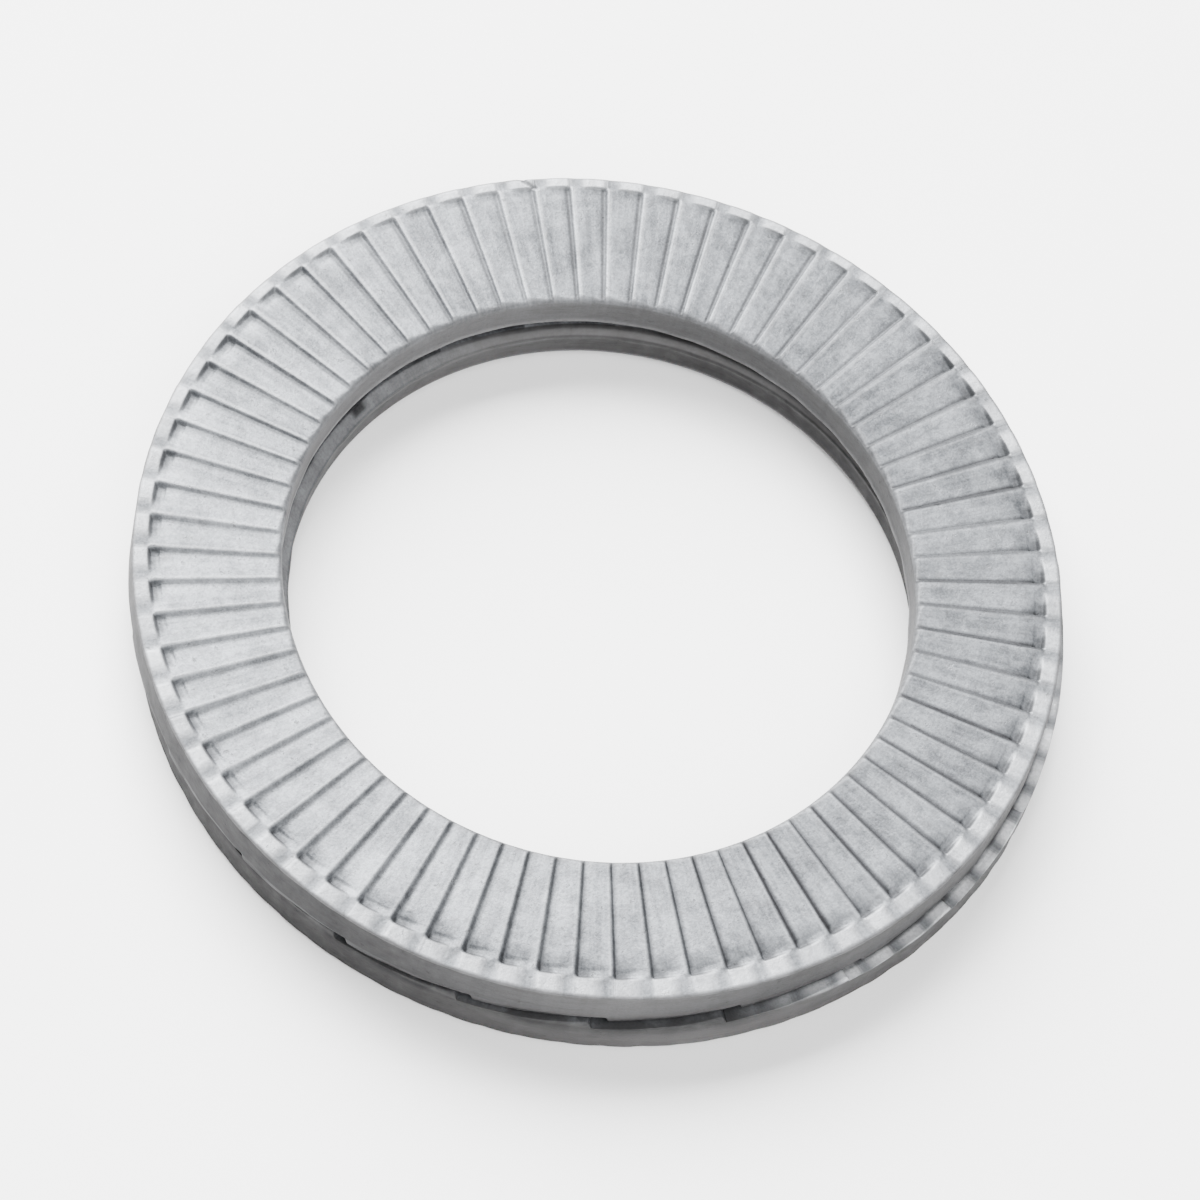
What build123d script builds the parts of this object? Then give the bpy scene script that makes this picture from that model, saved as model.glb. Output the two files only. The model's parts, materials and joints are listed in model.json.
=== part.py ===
from build123d import *
from math import degrees, radians, tan
import os

# Driving dimensions, in millimetres and degrees

# Ring of each washer, sized for an M22 bolt
outer_diameter = 34.5
bore_diameter = 23.4
washer_thickness = 1.7  # from the tooth crests to half the height of the cams
rim_chamfer = 0.2  # outer edge, on the tooth side
bore_chamfer = 0.3  # bore edge, on the tooth side, deeper than the teeth, so that the bore is plain
cam_rim_chamfer = 0.25  # outer edge, on the cam side
bore_relief = 0.4  # bore edge, on the cam side, deeper than the cams, so that the seam is plain there

# Cams, on the face turned to the other washer
cam_count = 22
cam_height = 0.3
cam_land_angle = 0.5  # narrow flat at the foot and at the crest of each ramp
cam_step_angle = 0.4  # turn taken by the steep step between two ramps

# Radial teeth, on the face turned to the bolt head or the work
tooth_count = 75
tooth_depth = 0.28
tooth_crest_angle = 0.5
tooth_wall_angle = 0.5  # turn taken by the steep side of a tooth
tooth_rim_width = 0.72  # plain rim outside the teeth
cam_to_tooth_angle = 2.9  # turn from a cam step to the top of a tooth's steep side

# How the two washers are glued together, a little out of line
glue_offset = 0.45  # between their axes, along X
glue_turn_angle = 3.2  # the upper washer is turned up the ramps of the lower one
glue_film = 0.02
step_gap_angle = 10.9  # turn from +X to the middle of a gap between cam steps

# Reach of a cutting shape past the surface that it opens
cut_reach = 1.0

# Sizes that follow
outer_radius = outer_diameter / 2
bore_radius = bore_diameter / 2
cam_pitch_angle = 360 / cam_count
tooth_pitch_angle = 360 / tooth_count
tooth_end_radius = outer_radius - tooth_rim_width
cam_foot_height = washer_thickness - cam_height / 2
cam_crest_height = washer_thickness + cam_height / 2

# The offset turns like points of the two cam faces past each other, most of all at the bore
ramp_angle = cam_pitch_angle - cam_step_angle - 2 * cam_land_angle
ride_up_angle = glue_turn_angle + degrees(glue_offset / bore_radius)
ride_up = cam_height * ride_up_angle / ramp_angle
pair_thickness = 2 * washer_thickness + ride_up + glue_film


def radial_cut(outline, inner_reach, outer_reach):
    """Carry an outline of (angle, height) corners outwards, each corner along a radius of the ring."""
    with BuildPart() as cut:
        for reach in (inner_reach, outer_reach):
            with BuildSketch(Plane.YZ.offset(reach)):
                with BuildLine():
                    Polyline([(reach * tan(radians(angle)), height) for angle, height in outline], close=True)
                make_face()
        loft(ruled=True)
    return cut.part


# Space over one cam ramp: the steep step falls to the foot land, and the ramp climbs to the crest land
cam_half_angle = (cam_pitch_angle - cam_land_angle) / 2
cam_foot_angle = cam_step_angle - cam_half_angle
cam_space = radial_cut(
    [
        (-cam_half_angle, cam_crest_height + cut_reach),
        (-cam_half_angle, cam_crest_height),
        (cam_foot_angle, cam_foot_height),
        (cam_foot_angle + cam_land_angle, cam_foot_height),
        (cam_half_angle, cam_crest_height),
        (cam_half_angle, cam_crest_height + cut_reach),
    ],
    bore_radius - cut_reach,
    outer_radius + cut_reach,
)

# Gap between two tooth crests: the long side deepens with the angle, and the steep side closes it
gap_half_angle = (tooth_pitch_angle - tooth_crest_angle) / 2
tooth_gap = radial_cut(
    [
        (-gap_half_angle, -cut_reach),
        (-gap_half_angle, 0),
        (gap_half_angle - tooth_wall_angle, tooth_depth),
        (gap_half_angle, 0),
        (gap_half_angle, -cut_reach),
    ],
    bore_radius - cut_reach,
    tooth_end_radius,
)

# One washer, teeth down and cams up, with the middle of a cam step on +X
with BuildPart() as washer:
    with BuildSketch(Plane.XZ) as section:
        with Locations((bore_radius, 0)):
            Rectangle(outer_radius - bore_radius, cam_crest_height, align=(Align.MIN, Align.MIN))
        tooth_side_corners = section.vertices().group_by(Axis.Y)[0].sort_by(Axis.X)
        cam_side_corners = section.vertices().group_by(Axis.Y)[-1].sort_by(Axis.X)
        chamfer(tooth_side_corners[0], bore_chamfer)
        chamfer(tooth_side_corners[-1], rim_chamfer)
        chamfer(cam_side_corners[0], bore_relief)
        chamfer(cam_side_corners[-1], cam_rim_chamfer)
    revolve(axis=Axis.Z)
    with PolarLocations(0, cam_count, start_angle=cam_half_angle - cam_step_angle / 2):
        add(cam_space, mode=Mode.SUBTRACT)
    with PolarLocations(0, tooth_count, start_angle=cam_to_tooth_angle - gap_half_angle):
        add(tooth_gap, mode=Mode.SUBTRACT)

# Lower washer, standing on its teeth at Z = 0
with BuildPart() as lower_washer:
    lower_turn = step_gap_angle - glue_turn_angle / 2
    with Locations(Location((glue_offset / 2, 0, 0), (0, 0, lower_turn))):
        add(washer.part)

# Upper washer, the same piece turned over, so that its own axis points down and its turn is reversed
with BuildPart() as upper_washer:
    upper_turn = step_gap_angle + glue_turn_angle / 2
    with Locations(Location((-glue_offset / 2, 0, pair_thickness), (180, 0, -upper_turn))):
        add(washer.part)

lower_washer.part.label = "lower_washer"
upper_washer.part.label = "upper_washer"

os.makedirs("parts", exist_ok=True)
export_step(lower_washer.part, "parts/lower_washer.step")
export_step(upper_washer.part, "parts/upper_washer.step")
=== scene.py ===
import bpy
import json
import math
import numpy as np
from mathutils import Matrix, Vector


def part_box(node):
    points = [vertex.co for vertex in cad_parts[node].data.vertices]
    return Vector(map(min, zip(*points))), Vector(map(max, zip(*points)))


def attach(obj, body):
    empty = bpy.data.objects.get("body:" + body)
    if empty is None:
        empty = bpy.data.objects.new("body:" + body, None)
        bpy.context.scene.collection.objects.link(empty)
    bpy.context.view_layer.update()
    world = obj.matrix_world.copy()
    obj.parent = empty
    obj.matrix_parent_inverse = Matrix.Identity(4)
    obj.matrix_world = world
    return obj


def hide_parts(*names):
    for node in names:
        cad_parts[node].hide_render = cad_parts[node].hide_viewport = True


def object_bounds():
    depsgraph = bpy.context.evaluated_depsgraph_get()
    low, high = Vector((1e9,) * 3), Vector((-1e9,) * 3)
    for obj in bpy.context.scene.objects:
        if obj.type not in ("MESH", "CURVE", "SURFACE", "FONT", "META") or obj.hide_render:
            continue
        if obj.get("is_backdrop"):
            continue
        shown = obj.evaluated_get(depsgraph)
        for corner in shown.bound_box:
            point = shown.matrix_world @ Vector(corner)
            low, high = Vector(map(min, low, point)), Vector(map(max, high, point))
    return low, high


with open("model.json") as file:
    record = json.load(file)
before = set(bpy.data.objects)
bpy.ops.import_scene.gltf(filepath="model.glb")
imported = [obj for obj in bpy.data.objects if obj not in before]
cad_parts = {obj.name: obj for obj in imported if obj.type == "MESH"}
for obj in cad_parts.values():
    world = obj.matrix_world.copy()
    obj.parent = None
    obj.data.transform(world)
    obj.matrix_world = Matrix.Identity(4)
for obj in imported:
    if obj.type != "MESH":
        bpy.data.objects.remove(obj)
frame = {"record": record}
cad_low, cad_high = (np.array(corner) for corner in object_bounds())
centre = (cad_low + cad_high) / 2
mm = 0.001
hair = 1e-7

# Sizes read from the frame
upper_low, upper_high = (np.array(corner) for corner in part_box("upper_washer"))
lower_low, lower_high = (np.array(corner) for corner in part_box("lower_washer"))
mounts = {mount["name"]: mount for mount in frame["record"]["mounts"]}
outer_radius = (upper_high[0] - upper_low[0]) / 2
bore_radius = mounts["bolt_hole"]["dims"]["r_mm"] * mm
crest_height = upper_high[2] - upper_low[2]
upper_axis = (upper_low[0] + upper_high[0]) / 2
lower_axis = (lower_low[0] + lower_high[0]) / 2
pair_height = cad_high[2]

# Cams and teeth as in the solids, turns in degrees
cam_count = 22
cam_height = 0.3 * mm
cam_land = 0.5
cam_step = 0.4
cam_pitch = 360 / cam_count
tooth_count = 75
tooth_depth = 0.28 * mm
tooth_rim_width = 0.72 * mm
tooth_pitch = 360 / tooth_count
tooth_end_radius = outer_radius - tooth_rim_width
cam_to_tooth = 2.9
step_gap = 10.9
glue_turn = 3.2
lower_turn = step_gap - glue_turn / 2
upper_turn = step_gap + glue_turn / 2

# Crest lands and steep sides of the teeth, narrower than in the solids, and shares of the solids'
# tooth depth: the teeth are shallow, deepen outwards and differ a little from each other
tooth_crest = 0.28
tooth_wall = 0.32
depth_at_bore = 0.42
depth_at_rim = 0.5
depth_spread = 0.1

# Turns either side of a corner that its rounding takes up, from the crisp teeth to the dullest
crisp = 0.1
rounded = 0.19
dull = 0.4

# Edges and coining marks, rounder and less even than in the solids
edge_round = 0.2 * mm
relief = 0.4 * mm
relief_height = crest_height - relief
burr_reach = 0.05 * mm
rim_drop = 0.045 * mm
drawn_all_round = 0.045 * mm
drawn_at_gaps = 0.022 * mm
drawn_height = 1.3 * mm
most_drawn_in = 0.3 * mm
wall_unevenness = 0.012 * mm
face_unevenness = 0.004 * mm
stamp_offset = 0.2 * mm
stamp_growth = 0.03 * mm
knock_depth = 0.1 * mm
nick_depth = 0.05 * mm
pad_start = 0.36 * tooth_pitch

# Ledges that the other washer leaves free, outside and inside, and the turn between the two
ledge_width = 0.7 * mm
between_ledges = 215

# Heights under which a point is on the tooth side, and on its face
tooth_side_height = 0.6 * mm
tooth_face_height = 0.25 * mm


def ramp(value, low, high):
    """0 below low, 1 above high, and an even slope between them. High may be the lower of the two."""
    return np.clip((value - low) / (high - low), 0, 1)


def mixed(first, last, share):
    """The value at this share of the way from a first one to a last one."""
    return first + (last - first) * share


def towards(turn, place, low, high):
    """1 where the ring lies towards a place on it, fading to 0. Low and high are the cosines of the
    turns away from the place at which the fading ends and starts."""
    return ramp(np.cos(np.radians(turn - place)), low, high)


def apart(place, turn):
    """Turn from the grid's lines to a place, from -180 to 180."""
    return np.mod(place - turn + 180, 360) - 180


def softened(profile, turn, reach):
    """Mean of a profile over a short turn either side, which rounds its corners."""
    shifts = np.linspace(-reach, reach, 7)
    weights = 1 - np.abs(shifts) / (reach * 1.4)
    total = sum(weight * profile(turn + shift) for weight, shift in zip(weights, shifts))
    return total / weights.sum()


def tooth_gap(turn):
    """Share of the tooth depth at a turn in degrees from the top of a steep side: a crest land,
    then a long slope down to the floor, then the steep side up to the next crest."""
    along = np.mod(turn, tooth_pitch)
    slope = (along - tooth_crest) / (tooth_pitch - tooth_crest - tooth_wall)
    wall = (tooth_pitch - along) / tooth_wall
    return np.clip(np.minimum(slope, wall), 0, 1)


def cam_rise(turn):
    """Share of the cam height at a turn in degrees from the middle of a step: a foot land, a ramp,
    a crest land and the step down."""
    along = np.mod(turn, cam_pitch)
    climb = (along - cam_step / 2 - cam_land) / (cam_pitch - cam_step - 2 * cam_land)
    before = (cam_pitch - along) / cam_step + 0.5
    after = 0.5 - along / cam_step
    return np.clip(np.maximum(np.minimum(climb, before), after), 0, 1)


def rim_pad(turn):
    """1 on a bright pad of the rim, of which each tooth gap has one, and 0 between two pads."""
    return (np.mod(turn, tooth_pitch) > pad_start).astype(float)


def waves(turn, radius, count, finest, seed):
    """Gentle unevenness round about 0: a sum of sine waves round and across the ring, the finest
    of them with that many periods to the turn."""
    dice = np.random.default_rng(seed)
    total = np.zeros(np.broadcast(turn, radius).shape)
    for _ in range(count):
        periods = dice.integers(2, finest)
        across = dice.normal(0, 900)
        total += np.sin(np.radians(turn) * periods + radius * across + dice.uniform(0, 2 * np.pi))
    return total / math.sqrt(count)


def per_tooth(turn, seed):
    """A steady random number for each tooth gap, from -1 to 1."""
    values = np.random.default_rng(seed).uniform(-1, 1, tooth_count)
    return values[np.mod(np.floor(turn / tooth_pitch).astype(int), tooth_count)]


def turns_of_grid(knocks):
    """Turns of the grid's lines, close together at the crests, steep sides, cam steps and knocks."""
    in_gap = np.array([0, 0.03, 0.06, 0.1, 0.15, 0.25, 0.38, 0.52, 0.66, 0.78, 0.85, 0.89, 0.92, 0.94, 0.97])
    at_step = np.array([-0.5, -0.3, -0.2, -0.1, 0, 0.1, 0.2, 0.3, 0.5])
    teeth = (np.arange(tooth_count)[:, None] + in_gap).ravel() * tooth_pitch + cam_to_tooth
    cams = (np.arange(cam_count)[:, None] * cam_pitch + at_step).ravel()
    dents = [place + np.linspace(-1, 3, 25) for place in knocks]
    return np.unique(np.round(np.mod(np.concatenate((teeth, cams, *dents)), 360), 4))


def quarter(middle, start, end, radius, steps):
    """Points of an arc in the section, as (radius, height) rows."""
    angles = np.radians(np.linspace(start, end, steps))
    return np.stack((middle[0] + radius * np.cos(angles), middle[1] + radius * np.sin(angles)), 1)


def section(bore_round, cam_edge_round, seam_shade):
    """The ring's section, once round from the bore wall over the tooth side, the outer wall and the
    cam side. A row gives radius and height, then its shares of the teeth, of their end walls, of
    the rim, of the cams, of a sheared wall and of the seam's shadow."""
    line = np.linspace
    rows = []

    def add(points, tooth=0.0, end=0.0, rim=0.0, cam=0.0, side=0.0, seam=0.0):
        shares = [np.broadcast_to(share, len(points)) for share in (tooth, end, rim, cam, side, seam)]
        rows.append(np.column_stack((points, *shares)))

    # Lower half of the bore wall, and the bore edge on the tooth side
    add(line((bore_radius, 0.95 * mm), (bore_radius, bore_round + 0.08 * mm), 4), side=1.0)
    bore_edge = quarter((bore_radius + bore_round, bore_round), 180, 270, bore_round, 8)
    add(bore_edge, tooth=1.0, side=line(0.9, 0, 8))

    # Teeth, the pockets near their outer ends, and their end walls
    add(line((bore_radius + bore_round * 1.3, 0), (tooth_end_radius - 0.44 * mm, 0), 8), tooth=1.0)
    pocket = line((tooth_end_radius - 0.38 * mm, 0), (tooth_end_radius - 0.17 * mm, 0), 4)
    add(pocket, tooth=1.0, end=np.array([0, 0.25, 0.8, 1]))
    end_wall = line((tooth_end_radius - 0.12 * mm, 0), (tooth_end_radius + 0.1 * mm, 0), 7)
    tooth = np.array([1, 0.97, 0.8, 0.5, 0.2, 0.03, 0])
    add(end_wall, tooth=tooth, end=np.array([1, 1, 1, 1, 0.9, 0.7, 0.3]), rim=1 - tooth)

    # Plain rim, the outer edge on the tooth side, and the outer wall
    add(line((tooth_end_radius + 0.17 * mm, 0), (outer_radius - edge_round * 1.25, 0), 4), rim=1.0)
    outer_edge = quarter((outer_radius - edge_round, edge_round), 270, 360, edge_round, 7)
    add(outer_edge, rim=line(1, 0, 7), side=np.minimum(line(0, 1.8, 7), 1))
    foot = crest_height - max(cam_height, cam_edge_round) - 0.03 * mm
    outer_wall = line((outer_radius, edge_round * 1.4), (outer_radius, foot), 8)
    add(outer_wall, side=1.0, seam=seam_shade * line(0, 1, 8) ** 1.6)

    # Outer edge on the cam side, the outer ledge, and the cams
    corner = (outer_radius - cam_edge_round, crest_height - cam_edge_round)
    add(quarter(corner, 0, 90, cam_edge_round, 5), cam=1.0, side=line(0.95, 0.3, 5), seam=1.0)
    ledge_start = (outer_radius - cam_edge_round * 1.4, crest_height)
    add(line(ledge_start, (outer_radius - 0.6 * mm, crest_height), 4), cam=1.0, seam=1.0)
    cams = line((outer_radius - 1.2 * mm, crest_height), (bore_radius + relief * 1.1, crest_height), 2)
    add(cams, cam=1.0, seam=0.6)

    # Relieved bore edge, and the upper half of the bore wall with its burr
    relieved = line((bore_radius + relief, crest_height), (bore_radius, relief_height), 7)
    add(relieved, cam=1.0, side=0.95, seam=line(1, 0.12, 7))
    add(line((bore_radius, relief_height - 0.02 * mm), (bore_radius, 1.0 * mm), 6), side=1.0)
    return np.concatenate(rows)


def knocked(away, radius, height):
    """What a knock does, by the turn away from its place: how far it moves the outer edge in, with
    a dent on one side and a bulge on the other, and how deep it nicks the rim aslant."""
    dent = 0.7 * ramp(away, 0.2, -0.2) * ramp(away, -4, -1)
    bulge = ramp(away, 5, 0.3) * ramp(away, -0.4, 0)
    slanted = away + (outer_radius - radius) / mm * 2.2
    on_rim = (height < edge_round * 0.9) * ramp(radius, tooth_end_radius - 0.1 * mm, tooth_end_radius)
    return dent - bulge, ramp(np.abs(slanted), 0.5, 0.2) * on_rim


def washer(seed, knocks, blots, dullness, ledge_turn, stamp_turn, crisp_shade_turn, left_turn,
           bore_round, cam_edge_round, seam_shade, ledge_rise):
    """One washer, teeth down and cams up, as a grid of points and the marks for its coating. Every
    point of the section is carried round the ring. Its height is the section's, but never under
    the groove floor on the tooth side and never over the cam surface on the cam side.

    Knocks are turns where the outer edge is chipped, and blots are turns of dark spots in the seam
    inside the bore. Dullness is how dark the sheared walls are. The other washer leaves a ledge
    free, outside at the ledge turn and inside well across from it, where the seam holds no shadow,
    and the ledge rise lifts the inner one. The teeth are stamped a little out of centre, towards
    the stamp turn. They are crisp at the crisp shade turn, where the painted shade, with some dirt,
    in their lines and pockets and on the walls is darkest, and dullest at the left turn, which is
    the left of the photograph. The bore is rounded on the tooth side, and the outer edge on the cam
    side. The seam shade is how strongly the seam marks the outer wall and ledge."""
    turn = turns_of_grid(knocks)[None, :]
    rows = section(bore_round, cam_edge_round, seam_shade)
    radius, height, tooth, end, rim, cam, side, seam = (column[:, None] for column in rows.T)
    tooth_turn = turn - cam_to_tooth
    along = np.mod(tooth_turn, tooth_pitch)

    # Parts of the ring
    crisp_and_shaded = towards(turn, crisp_shade_turn, -0.5, 0.6)
    shaded = 1 - towards(turn, crisp_shade_turn - 132, 0.55, 0.9)
    left = towards(turn, left_turn, 0.5, 0.95)
    low_left = towards(turn, left_turn, 0.2, 0.7)
    far_left = towards(turn, left_turn + 75, 0.4, 0.9)
    right = towards(turn, left_turn + 180, 0.3, 0.9)
    near_bore = radius < bore_radius + relief * 1.8
    in_bore = radius < bore_radius + relief * 1.05
    at_bore_wall = radius < bore_radius + hair
    on_tooth_side = height < edge_round * 1.01
    inner_ledge = towards(turn, ledge_turn + between_ledges, 0.3, 0.75)
    outer_ledge = towards(turn, ledge_turn, 0.78, 0.93)
    exposed = np.where(near_bore, inner_ledge, outer_ledge)
    pad = softened(rim_pad, tooth_turn, 0.5) * (0.82 + 0.18 * per_tooth(tooth_turn, seed + 2))
    soft_pad = softened(rim_pad, tooth_turn, 0.8) * (0.8 + 0.2 * per_tooth(tooth_turn, seed + 7))

    # Heights of the teeth, deeper in the pockets, and of the rim, which drops between the pads
    gap = mixed(softened(tooth_gap, tooth_turn, rounded), softened(tooth_gap, tooth_turn, crisp), crisp_and_shaded)
    gap = mixed(gap, softened(tooth_gap, tooth_turn, dull), left)
    pocket = ramp(radius, tooth_end_radius - 0.46 * mm, tooth_end_radius - 0.3 * mm)
    share = mixed(depth_at_bore, depth_at_rim, ramp(radius, bore_radius, tooth_end_radius - 0.5 * mm))
    share = share * (0.74 + 0.26 * crisp_and_shaded) + (0.1 + 0.4 * shaded) * pocket
    share = share * (1 + depth_spread * per_tooth(tooth_turn, seed))
    floor = tooth * gap * tooth_depth * share
    z = np.where(height < tooth_side_height, np.maximum(height, floor), height)
    z = z + rim_drop * on_tooth_side * rim * ramp(height, edge_round, 0) * (1 - pad)
    z = z + face_unevenness * waves(turn, radius, 30, 150, seed + 1) * (height < tooth_face_height)

    # Heights of the cams, which end on a plain ledge round the bore
    plain = 0.35 + ledge_rise * exposed * near_bore
    on_cams = ramp(radius, bore_radius + relief, bore_radius + relief + 0.3 * mm)
    rise = mixed(plain, softened(cam_rise, turn, crisp), on_cams)
    z = np.where(cam > 0, np.minimum(height, crest_height - cam_height * (1 - rise)), z)
    z = np.maximum(z, 0)

    # Outer wall, drawn in between the pads and dented or bulged at a knock
    near_rim = ramp(height, drawn_height, 0) * (radius > outer_radius - edge_round * 1.01)
    drawn_in = drawn_all_round + drawn_at_gaps * (1 + 2 * right) * (1 - pad) * near_rim
    drawn_in = drawn_in + wall_unevenness * waves(turn, 0, 20, 60, seed + 3)
    nick = 0
    for place in knocks:
        moved, nicked = knocked(apart(place, turn), radius, height)
        drawn_in = drawn_in + knock_depth * near_rim * moved
        nick = nick + nicked
    z = z + nick_depth * nick
    outward = ramp(radius, outer_radius - cam_edge_round, outer_radius)
    r = radius - outward * np.clip(drawn_in, 0, most_drawn_in)

    # Burr on the bore wall, and the teeth stamped out of centre
    burr = ramp(height, relief_height - 0.3 * mm, relief_height - 0.02 * mm)
    burr = burr * at_bore_wall * (height < relief_height - 0.01 * mm)
    r = r - burr * burr_reach * (0.8 + 0.3 * waves(turn, 0, 12, 40, seed + 4))
    stamped = ramp(radius, bore_radius + 1.5 * mm, tooth_end_radius) * on_tooth_side
    stamped = stamped * ramp(radius, outer_radius - edge_round, tooth_end_radius)
    r = r + stamped * (stamp_growth + stamp_offset * np.cos(np.radians(turn - stamp_turn)))
    angle = np.radians(turn)
    points = np.stack((r * np.cos(angle), r * np.sin(angle), z), -1)

    # Dark lines beside the steep sides, wide and faint where the teeth are dull, and dark pockets:
    # painted shade in the creases, with some dirt
    wide = 0.25 * (1 - crisp_and_shaded)
    line = ramp(along, tooth_pitch - 1.0 - wide / 2, tooth_pitch - 0.5 - wide)
    line = line * (1 - 0.6 * (1 - crisp_and_shaded) * ramp(along, tooth_pitch - 0.42, tooth_pitch - 0.3))
    line = (line + crisp_and_shaded * ramp(along, 0.4, 0.2)) * (1 - 0.5 * low_left) * (1 - 0.35 * far_left)
    line = line * (0.84 + 0.16 * per_tooth(tooth_turn - 1, seed + 5)) * ramp(side, 0.6, 0.2)
    on_wall = ramp(radius, tooth_end_radius - 0.14 * mm, tooth_end_radius - 0.08 * mm)
    under_end = 0.7 * end * ramp(gap, 0.32 + 0.2 * crisp_and_shaded, 0.5 + 0.2 * crisp_and_shaded) * (1 - 0.3 * far_left)
    under_end = under_end * (0.5 + 0.5 * shaded) * (1 - 0.5 * on_wall * (1 - shaded))

    # Painted shade on the outer walls towards the crisp shade turn and the left, on the tooth side
    # towards the crisp shade turn and on the bore walls; darker gaps between the pads, and dark blots
    shaded_side = np.maximum(0.55 * towards(turn, crisp_shade_turn, 0.6, 0.9), 0.75 * left)
    shade_and_grime = shaded_side * side * (radius > outer_radius - 0.01 * mm) * (cam < 1)
    shade_and_grime = shade_and_grime + 0.1 * tooth * towards(turn, crisp_shade_turn, 0.2, 1)
    on_bore_wall = side * (radius < bore_radius + 0.01 * mm)
    shade_and_grime = shade_and_grime + (0.08 + 1.5 * (dullness - 0.8) + 0.4 * right) * on_bore_wall
    on_ledge = exposed * (cam > 0) * (radius > outer_radius - ledge_width)
    shade_and_grime = shade_and_grime + 0.22 * on_ledge * (1 - soft_pad) + 0.2 * rim * (1 - pad) * (height < edge_round)
    for place in blots:
        shade_and_grime = shade_and_grime + ramp(np.abs(apart(place, turn)), 2.1, 1.0) * in_bore * ramp(seam, 0.35, 0.6)

    # Bare metal from wear, and painted highlights, on the crests, the pads, the ledge and the lip over
    # the burr
    crest = ramp(along, 0.72, 0.45) * ramp(along - 0.2 * crisp_and_shaded, 0.0, 0.14) * (1 - 0.5 * crisp_and_shaded)
    wear_and_highlight = 0.18 * crest * tooth * (1 - side) + 0.45 * rim * pad * (height < edge_round * 0.6)
    wear_and_highlight = wear_and_highlight + 1.5 * seam_shade * on_ledge * soft_pad
    lip = ramp(height, relief_height - 0.22 * mm, relief_height - 0.1 * mm) * at_bore_wall
    wear_and_highlight = wear_and_highlight + lip * (height < relief_height)

    # The ledges are lit, so they are neither dull nor in the seam's shadow
    clear = np.where(in_bore, 1, ramp(radius, outer_radius - 0.48 * mm, outer_radius - 0.34 * mm))
    marks = {
        # Painted shade in the tooth lines, pockets and on shaded walls, with some dirt and the dark nicks
        "shade_and_stain": np.maximum(np.maximum(tooth * line, under_end), 0.8 * nick) + shade_and_grime,
        # Wear and painted highlights on the crests, the pads, the ledge and the lip
        "wear_and_highlight": wear_and_highlight,
        # The side mark is the darker grey of the sheared walls, and on the cam-side edges beside the seam it
        # is also painted shade, except on the lit ledges
        "side": side * dullness * (1 - (0.8 - 0.3 * in_bore) * exposed * (cam > 0)),
        "seam": seam * (1 - exposed * clear),
    }
    return points, marks


def mesh_piece(name, points, marks, material):
    """Closes a grid both ways into a ring and makes it an object, its marks stored on its points."""
    lines, around = points.shape[:2]
    here = np.arange(lines * around).reshape(lines, around)
    across = np.roll(here, -1, axis=0)
    onward = np.roll(here, -1, axis=1)
    both = np.roll(across, -1, axis=1)
    faces = np.stack((here, onward, both, across), -1).reshape(-1, 4)
    mesh = bpy.data.meshes.new(name)
    mesh.from_pydata(points.reshape(-1, 3), [], faces)
    for mark, values in marks.items():
        layer = mesh.attributes.new(mark, "FLOAT", "POINT")
        layer.data.foreach_set("value", np.ascontiguousarray(values, dtype=np.float32).ravel())
    mesh.shade_smooth()
    mesh.materials.append(material)
    mesh.update()
    piece = bpy.data.objects.new(name, mesh)
    bpy.context.scene.collection.objects.link(piece)
    return piece


def turned(points, degrees):
    """Points turned round the Z axis."""
    angle = math.radians(degrees)
    x = points[..., 0] * math.cos(angle) - points[..., 1] * math.sin(angle)
    y = points[..., 0] * math.sin(angle) + points[..., 1] * math.cos(angle)
    return np.stack((x, y, points[..., 2]), -1)


class Wire:
    """A value in a material, so that shader sums are written like arithmetic."""

    def __init__(self, tree, socket):
        self.tree = tree
        self.socket = socket

    def node(self, kind, settings, values, output=0):
        """Adds a node, gives it its settings and then its sockets' values or links."""
        made = self.tree.nodes.new(kind)
        for setting, value in settings.items():
            setattr(made, setting, value)
        for name, value in values.items():
            if isinstance(value, Wire):
                self.tree.links.new(value.socket, made.inputs[name])
            else:
                made.inputs[name].default_value = value
        return Wire(self.tree, made.outputs[output])

    def maths(self, operation, first, second):
        return self.node("ShaderNodeMath", {"operation": operation}, {0: first, 1: second})

    def __add__(self, other):
        return self.maths("ADD", self, other)

    def __radd__(self, other):
        return self.maths("ADD", other, self)

    def __sub__(self, other):
        return self.maths("SUBTRACT", self, other)

    def __mul__(self, other):
        return self.maths("MULTIPLY", self, other)

    def __rmul__(self, other):
        return self.maths("MULTIPLY", other, self)

    def most(self, other):
        return self.maths("MAXIMUM", self, other)

    def over(self, low, high):
        """0 below low, 1 above high, smooth between them."""
        settings = {"interpolation_type": "SMOOTHSTEP"}
        return self.node("ShaderNodeMapRange", settings, {"Value": self, "From Min": low, "From Max": high})

    def between(self, first, last):
        """The colour at this share of the way from a first colour to a last one."""
        return self.node("ShaderNodeMix", {"data_type": "RGBA"}, {0: self, 6: first, 7: last}, 2)

    def tint(self, other, share):
        """This colour, mixed towards another by a share."""
        return share.between(self, other)

    def vector(self, operation, values, output=0):
        """A vector sum on this vector, with its other values by the name or number of their sockets."""
        return self.node("ShaderNodeVectorMath", {"operation": operation}, {0: self, **values}, output)

    def scaled(self, scale):
        return self.vector("SCALE", {"Scale": scale})

    def lifted(self, height):
        """This vector with a height added along Z."""
        return self.vector("ADD", {1: self.node("ShaderNodeCombineXYZ", {}, {"Z": height})})

    def noise(self, scale, detail, roughness=0.5):
        values = {"Vector": self, "Scale": scale, "Detail": detail, "Roughness": roughness}
        return self.node("ShaderNodeTexNoise", {}, values)


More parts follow.
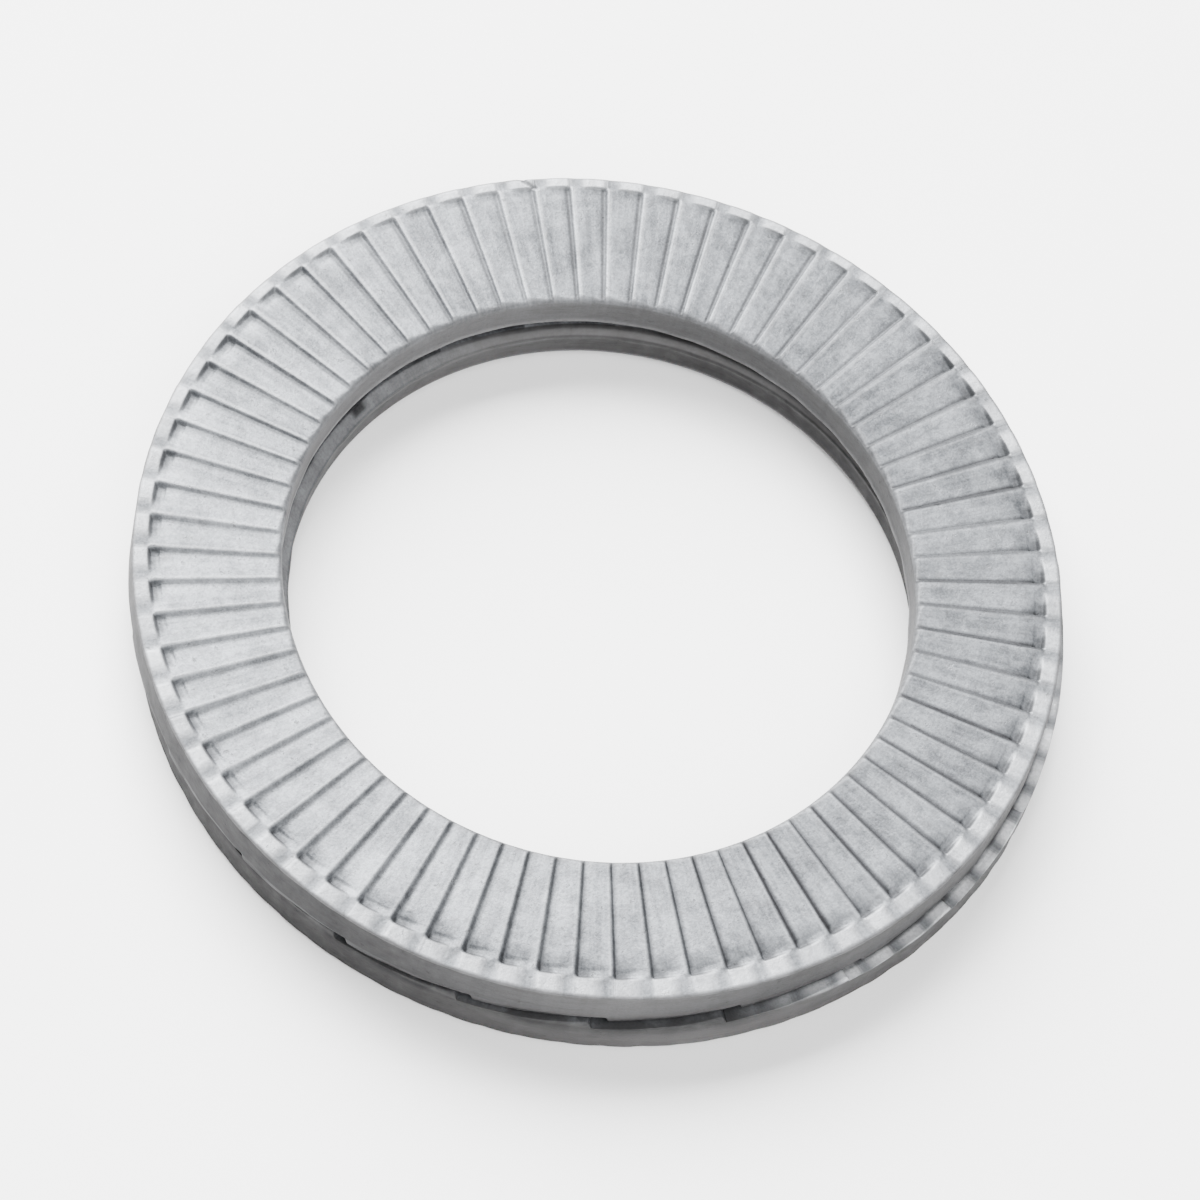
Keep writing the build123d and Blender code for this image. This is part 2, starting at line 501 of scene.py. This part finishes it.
def zinc_flake():
    """Matt silver-grey coating: cloudy, speckled with fine grain, dark with painted shade and some dirt
    beside the steep sides, in the pockets and in the seam, bare and bright with wear and painted
    highlights on the crests, the rim's pads and the ledge, duller on sheared walls."""
    cloud_dark, cloud_pale = (0.05, 0.054, 0.06, 1), (0.215, 0.227, 0.243, 1)
    grain_grey = (0.09, 0.09, 0.095, 1)
    speck_grey = (0.07, 0.07, 0.07, 1)
    bare_metal_and_highlight = (0.75, 0.76, 0.78, 1)
    sheared_grey, sheared_dark = (0.108, 0.105, 0.105, 1), (0.06, 0.057, 0.055, 1)
    shade_and_dirt_black = (0.02, 0.02, 0.021, 1)

    material = bpy.data.materials.new("zinc_flake")
    material.use_nodes = True
    tree = material.node_tree
    shader = tree.nodes["Principled BSDF"]
    start = Wire(tree, None)

    def mark(name):
        return start.node("ShaderNodeAttribute", {"attribute_name": name}, {}, "Fac")

    # Patterns, by the place on the washer in millimetres
    place = start.node("ShaderNodeTexCoord", {}, {}, "Object").scaled(1000)
    blotch = place.noise(0.42, 3)
    cloud = place.noise(1.6, 4, 0.6)
    fine = place.noise(11, 3, 0.6)
    grain = place.noise(7, 3, 0.65)
    speck = place.noise(3.2, 4, 0.7).over(0.60, 0.74)
    scuff = place.noise(0.9, 5, 0.7).over(0.60, 0.70)

    # Streaks along the teeth, and layers round the sheared walls
    level = place.vector("MULTIPLY", {1: (1, 1, 0)})
    outward = level.vector("NORMALIZE", {}).scaled(60)
    reach = level.vector("LENGTH", {}, "Value")
    streak = outward.lifted(reach * 0.35).noise(1, 3, 0.6)
    height = place.node("ShaderNodeSeparateXYZ", {}, {0: place}, "Z")
    layers = outward.scaled(0.15).lifted(height * 5).noise(1, 4, 0.65)

    # Marks stored on the points, made uneven
    side = mark("side")
    shade_and_stain = mark("shade_and_stain") * (0.7 + 0.6 * cloud)
    seam = mark("seam") * (0.75 + 0.35 * place.noise(0.9, 3).over(0.35, 0.6))
    wear_and_highlight = mark("wear_and_highlight") * (0.7 + 0.3 * grain.over(0.35, 0.6))

    shade = blotch.over(0.38, 0.62) * 0.24 + cloud.over(0.40, 0.60) * 0.34
    shade = shade + streak.over(0.38, 0.62) * 0.2 + fine.over(0.38, 0.62) * 0.22
    face = shade.between(cloud_dark, cloud_pale)
    face = face.tint(grain_grey, grain.over(0.50, 0.66) * 0.45)
    face = face.tint(grain_grey, scuff * 0.4)
    face = face.tint(speck_grey, speck * 0.5)
    # Bare metal from wear, and painted highlights on the crests, the pads, the ledge and the lip
    face = face.tint(bare_metal_and_highlight, wear_and_highlight * 0.6)
    face = face.tint(sheared_grey, side * 0.92)
    face = face.tint(sheared_dark, side * layers.over(0.45, 0.7) * 0.4)
    # Painted shade in the tooth lines, pockets, seam and on shaded walls, with some dirt
    face = face.tint(shade_and_dirt_black, shade_and_stain.most(seam) * 0.8)
    rough = 0.42 + 0.16 * cloud + 0.2 * side + 0.1 * speck + 0.2 * shade_and_stain - 0.08 * wear_and_highlight
    bare = 0.55 + 0.35 * shade_and_stain
    relief_of_grain = {"Strength": 0.6, "Distance": 0.00002, "Height": grain + cloud * 1.5 - speck}
    bump = grain.node("ShaderNodeBump", {}, relief_of_grain)
    tree.links.new(face.socket, shader.inputs["Base Color"])
    tree.links.new(rough.socket, shader.inputs["Roughness"])
    tree.links.new(bare.socket, shader.inputs["Metallic"])
    tree.links.new(bump.socket, shader.inputs["Normal"])
    return material


def add_washers():
    """The lower washer as it is made, and the upper one turned over on it."""
    coating = zinc_flake()
    points, marks = washer(
        seed=5, knocks=[], blots=[167], dullness=1.0,
        ledge_turn=-lower_turn, stamp_turn=40, crisp_shade_turn=0, left_turn=246,
        bore_round=0.5 * mm, cam_edge_round=0.15 * mm, seam_shade=1.0, ledge_rise=0.6,
    )
    placed = turned(points, lower_turn) + (lower_axis, 0, 0)
    lower = mesh_piece("lower_washer_skin", placed, marks, coating)
    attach(lower, "root")
    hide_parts("lower_washer")
    points, marks = washer(
        seed=11, knocks=[236.6], blots=[], dullness=0.85,
        ledge_turn=upper_turn + 180, stamp_turn=upper_turn - 130, crisp_shade_turn=17, left_turn=117,
        bore_round=0.3 * mm, cam_edge_round=0.07 * mm, seam_shade=0.3, ledge_rise=0,
    )
    turned_over = points * (1, -1, -1)
    placed = turned(turned_over, upper_turn) + (upper_axis, 0, pair_height)
    upper = mesh_piece("upper_washer_skin", placed, marks, coating)
    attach(upper, "root")
    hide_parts("upper_washer")


def place_at(azimuth, elevation, distance):
    """A place at a distance from the middle of the pair, its direction in degrees."""
    round_z, upwards = math.radians(azimuth), math.radians(elevation)
    across = distance * math.cos(upwards)
    up = distance * math.sin(upwards)
    return centre + np.array([across * math.cos(round_z), across * math.sin(round_z), up])


def add_camera():
    """Looks down at the pair from the photograph's side, leaning as the photograph does."""
    picture_width = 1200
    focal_length_in_pixels = 6250
    lean = math.radians(15.3)
    place = place_at(azimuth=-67.7, elevation=60.1, distance=0.2304)
    back = Vector(place - centre).normalized()
    right = Vector((0, 0, 1)).cross(back).normalized()
    up = back.cross(right)
    turned_right = right * math.cos(lean) + up * math.sin(lean)
    turned_up = up * math.cos(lean) - right * math.sin(lean)
    data = bpy.data.cameras.new("camera")
    data.sensor_width = 36
    data.lens = data.sensor_width * focal_length_in_pixels / picture_width
    data.clip_start = 0.01
    camera = bpy.data.objects.new("camera", data)
    camera.matrix_world = Matrix((turned_right, turned_up, back)).transposed().to_4x4()
    camera.location = place
    bpy.context.scene.collection.objects.link(camera)
    bpy.context.scene.camera = camera


def add_light(name, azimuth, elevation, size, power):
    """A square soft box that faces the pair."""
    place = place_at(azimuth, elevation, distance=0.75)
    data = bpy.data.lights.new(name, "AREA")
    data.size = size
    data.energy = power
    light = bpy.data.objects.new(name, data)
    light.location = place
    light.rotation_euler = Vector(place - centre).to_track_quat("Z", "Y").to_euler()
    bpy.context.scene.collection.objects.link(light)


def add_floor():
    """A pale table top under the pair."""
    bpy.ops.mesh.primitive_plane_add(size=4, location=(0, 0, 0))
    floor = bpy.context.object
    floor.name = "floor"
    material = bpy.data.materials.new("floor_white")
    material.use_nodes = True
    material.node_tree.nodes["Principled BSDF"].inputs["Base Color"].default_value = (0.97, 0.97, 0.97, 1)
    floor.data.materials.append(material)
    floor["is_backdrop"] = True


def add_world(strength):
    """Even white light from all round."""
    world = bpy.data.worlds.new("studio")
    world.use_nodes = True
    background = world.node_tree.nodes["Background"]
    background.inputs["Color"].default_value = (1, 1, 1, 1)
    background.inputs["Strength"].default_value = strength
    bpy.context.scene.world = world


add_camera()
add_washers()
add_floor()
add_light("key", azimuth=145.2, elevation=39, size=0.7, power=49)
add_light("fill", azimuth=-34.8, elevation=46, size=0.6, power=8)
add_light("top", azimuth=-9.8, elevation=74, size=0.5, power=3)
add_world(0.27)
